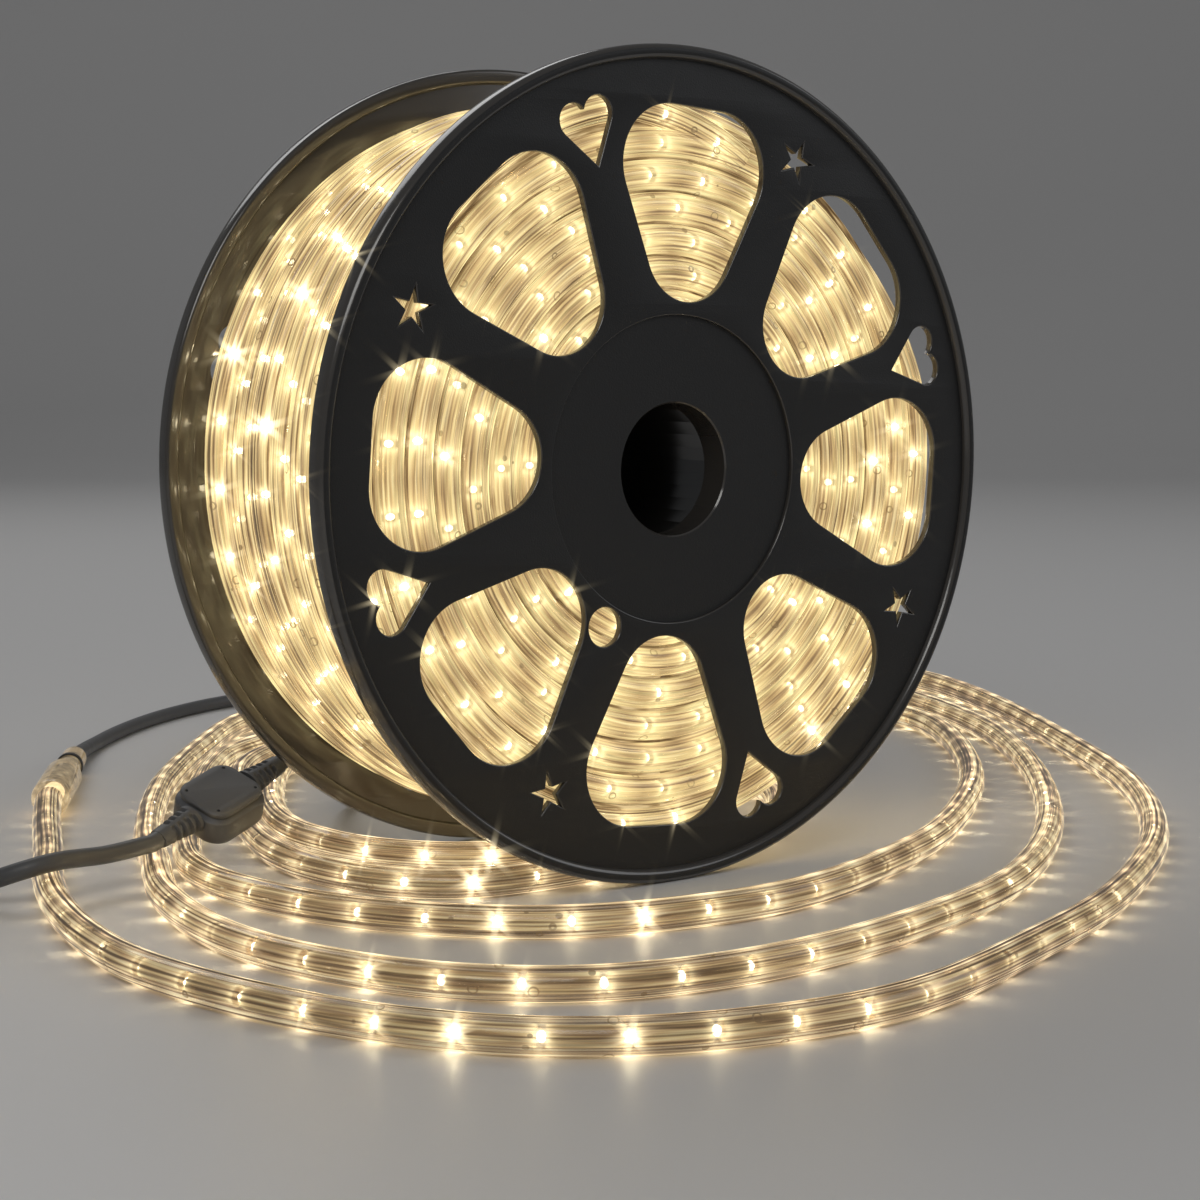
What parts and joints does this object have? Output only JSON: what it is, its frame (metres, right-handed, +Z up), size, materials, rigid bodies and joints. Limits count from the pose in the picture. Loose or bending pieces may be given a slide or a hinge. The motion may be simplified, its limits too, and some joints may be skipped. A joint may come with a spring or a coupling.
{
  "type": "led rope light on a reel",
  "caption": "Clear LED rope wound on a black plastic reel, its loose end in loops on the floor, with a power connector, lead, small inline rectifier and plug.",
  "frame": {"origin": "on the floor, under the middle of the reel", "axes": "+Z up; the reel's axis is along Y, and its front flange faces -Y"},
  "size_m": [0.8557, 0.7636, 0.34],
  "materials": {
    "flange": "fine textured black moulding",
    "rope": "clear flexible vinyl lit warm white from inside",
    "connector": "clear moulded sleeve",
    "cable": "satin charcoal cable sheath",
    "rectifier": "satin charcoal moulding",
    "tie": "black strap",
    "blade": "nickel plated"
  },
  "bodies": {
    "root": {"front_flange": "flange", "rear_flange": "flange", "barrel": "flange", "rope_coil": "rope", "rope_tail": "rope", "power_connector": "connector", "lead": "cable", "rectifier_body": "rectifier", "lead_strain_relief": "rectifier", "supply_strain_relief": "rectifier", "supply_cord": "cable", "supply_coil": "cable", "supply_tie": "tie", "plug_strain_relief": "cable", "plug_body": "cable", "plug_blade_left": "blade", "plug_blade_right": "blade"}
  },
  "joints": []
}
